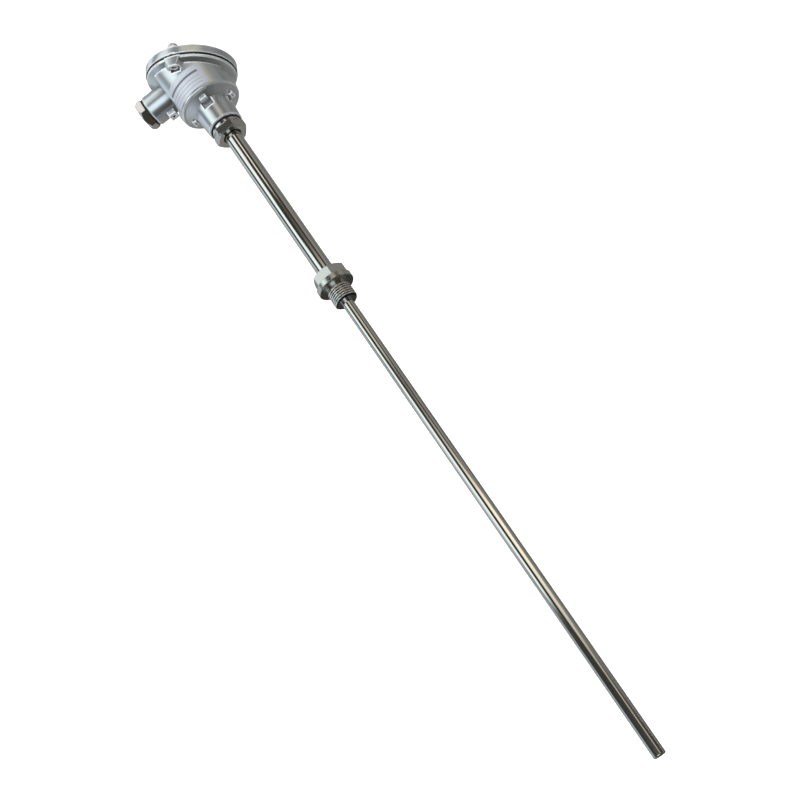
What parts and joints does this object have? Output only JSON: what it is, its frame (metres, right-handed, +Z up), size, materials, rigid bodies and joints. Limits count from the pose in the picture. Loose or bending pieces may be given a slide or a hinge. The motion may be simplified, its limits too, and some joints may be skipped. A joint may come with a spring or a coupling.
{
  "type": "industrial thermometer",
  "caption": "Industrial resistance thermometer: cast head with an inclined lid and side cable entry, neck tube, threaded process fitting and a long slim probe with a sprung measuring insert.",
  "frame": {"origin": "centre of the process fitting's sealing face, on the probe's axis", "axes": "+X along the probe to its tip, the cable entry points to -Y, +Z up"},
  "size_m": [0.7327, 0.0968, 0.082],
  "materials": {
    "head_paint": "satin silver lacquer on die-cast aluminium",
    "black_rubber": "matt black",
    "label_foil": "matt silver foil, bare",
    "plug_nickel": "bright nickel plate on brass",
    "turned_steel": "fine turned stainless steel",
    "polished_tube": "polished stainless steel",
    "screw_steel": "bright steel",
    "insert_steel": "dull drawn steel",
    "potting_resin": "matt dark resin",
    "block_ceramic": "unglazed white",
    "terminal_brass": "nickel-plated brass",
    "lead_wire": "tinned copper"
  },
  "bodies": {
    "head_and_stem": {"head_body": "head_paint", "plug_seal": "black_rubber", "neck_seal": "black_rubber", "name_plate": "label_foil", "blanking_plug": "plug_nickel", "gland_screw": "turned_steel", "process_fitting": "turned_steel", "clamp_ring": "turned_steel", "neck_tube": "polished_tube", "probe_tube": "polished_tube", "tip_plug": "polished_tube", "insert_screws": "screw_steel", "insert_springs": "screw_steel"},
    "lid": {"lid": "head_paint", "lid_gasket": "black_rubber", "lid_screws": "screw_steel", "screw_retainers": "black_rubber"},
    "insert": {"insert_rod": "insert_steel", "insert_potting": "potting_resin", "insert_ferrule": "insert_steel", "insert_plate": "insert_steel", "terminal_block": "block_ceramic", "terminal_clamps": "terminal_brass", "terminal_screws": "terminal_brass", "block_screws": "screw_steel", "lead_wires": "lead_wire"}
  },
  "joints": [
    {"name": "lid_lift", "type": "slide", "parent": "head_and_stem", "child": "lid", "axis": [-0.8934, 0.4493, 0], "range_m": [0, 0.06]},
    {"name": "insert_travel", "type": "slide", "parent": "head_and_stem", "child": "insert", "axis": [-1, 0, 0], "range_m": [0, 0.003], "stiffness_N_per_m": 3000, "springref_m": -0.006, "deforming": ["insert_springs"]}
  ]
}
